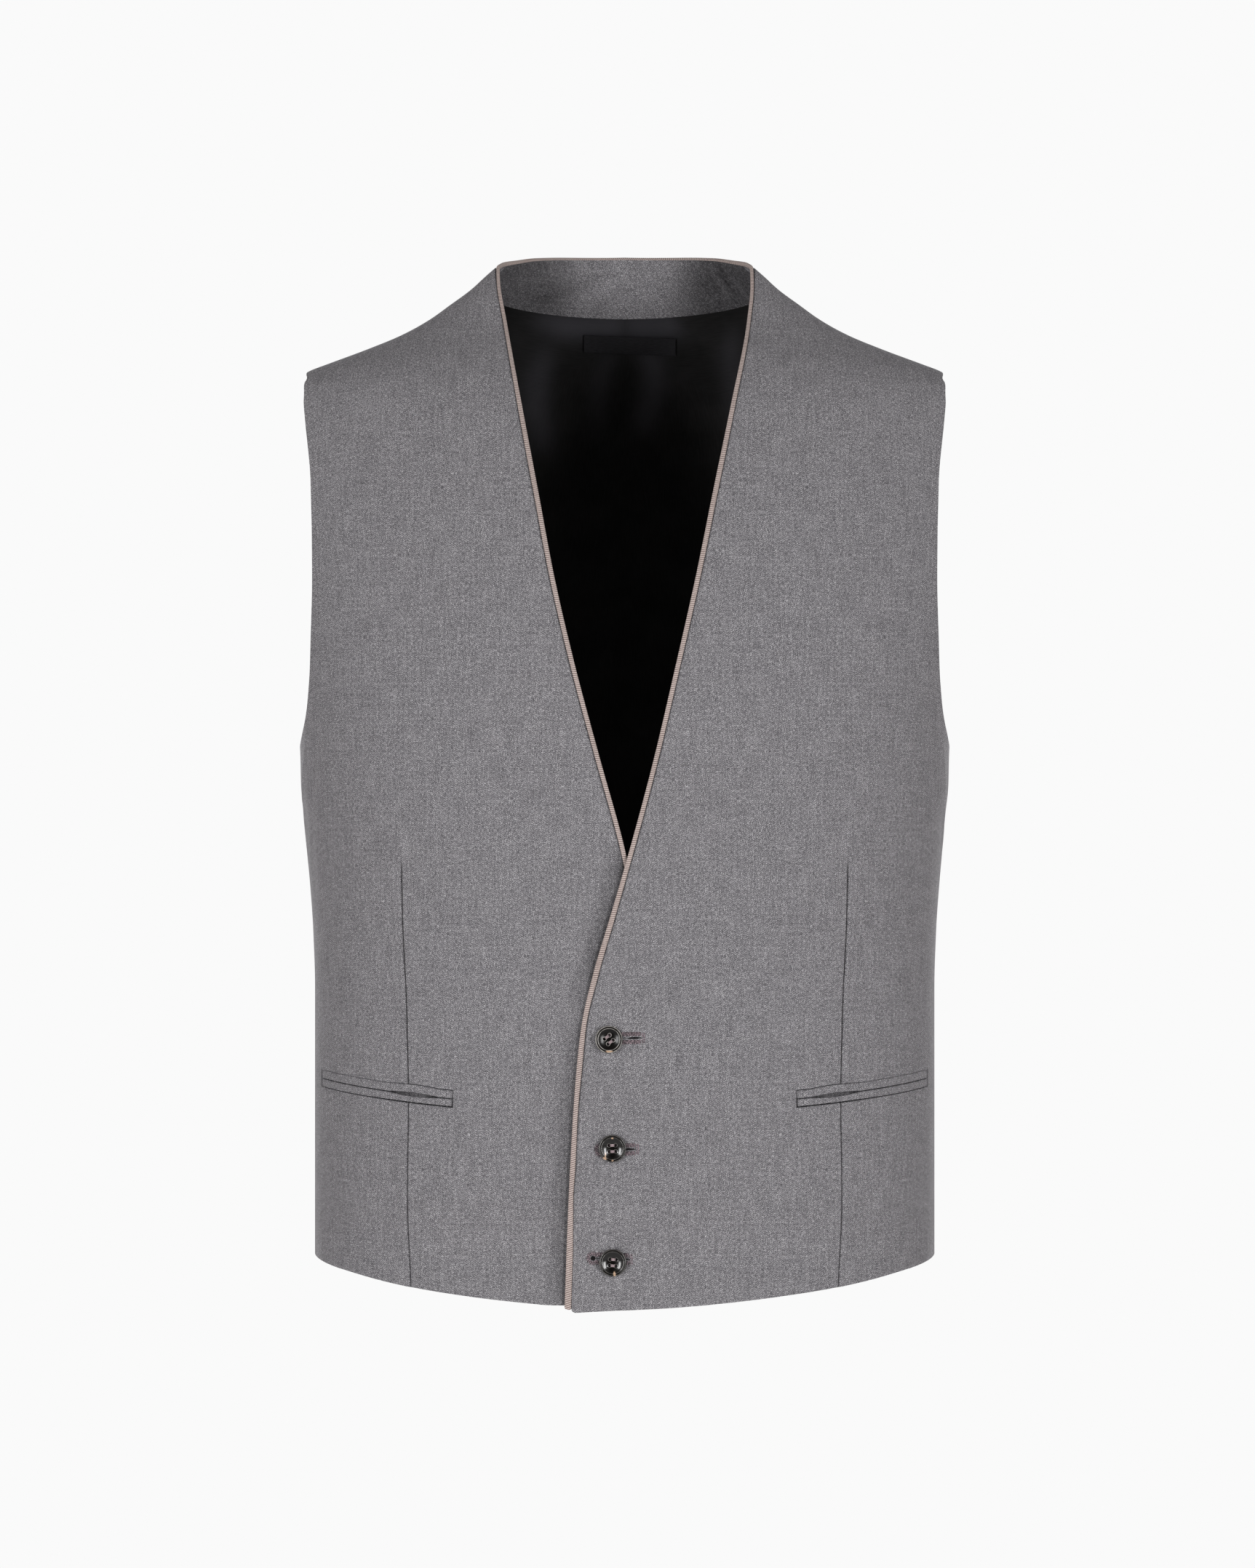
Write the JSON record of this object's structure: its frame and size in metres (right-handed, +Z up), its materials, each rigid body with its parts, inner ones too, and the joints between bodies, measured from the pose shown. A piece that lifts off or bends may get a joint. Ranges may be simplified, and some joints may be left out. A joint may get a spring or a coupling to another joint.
{
  "type": "suit waistcoat",
  "caption": "Men's suit waistcoat in its worn shape, with a deep V neck edged in ribbed ribbon, buttoned front, darts, jetted pockets and a satin back.",
  "frame": {"origin": "middle of the neck opening, level with the neck points, where the wearer's shoulders carry the garment", "axes": "+Z up the wearer's body, -Y out of the wearer's chest, +X towards the wearer's left"},
  "size_m": [0.3737, 0.2354, 0.6035],
  "materials": {
    "grey_worsted": "fine grey melange worsted wool, matt",
    "black_satin": "black satin lining with a soft sheen",
    "taupe_ribbon": "finely ribbed pinkish taupe ribbon",
    "dark_horn": "polished dark horn"
  },
  "bodies": {
    "root": {"left_front": "grey_worsted", "right_front": "grey_worsted", "neck_band": "grey_worsted", "back_left": "black_satin", "back_right": "black_satin", "lining_left": "black_satin", "lining_right": "black_satin", "label": "black_satin", "piping_left_front": "taupe_ribbon", "piping_right_front": "taupe_ribbon", "piping_neck": "taupe_ribbon", "jet_left_upper": "grey_worsted", "jet_left_lower": "grey_worsted", "jet_right_upper": "grey_worsted", "jet_right_lower": "grey_worsted", "button_1": "dark_horn", "button_2": "dark_horn", "button_3": "dark_horn"}
  },
  "joints": []
}
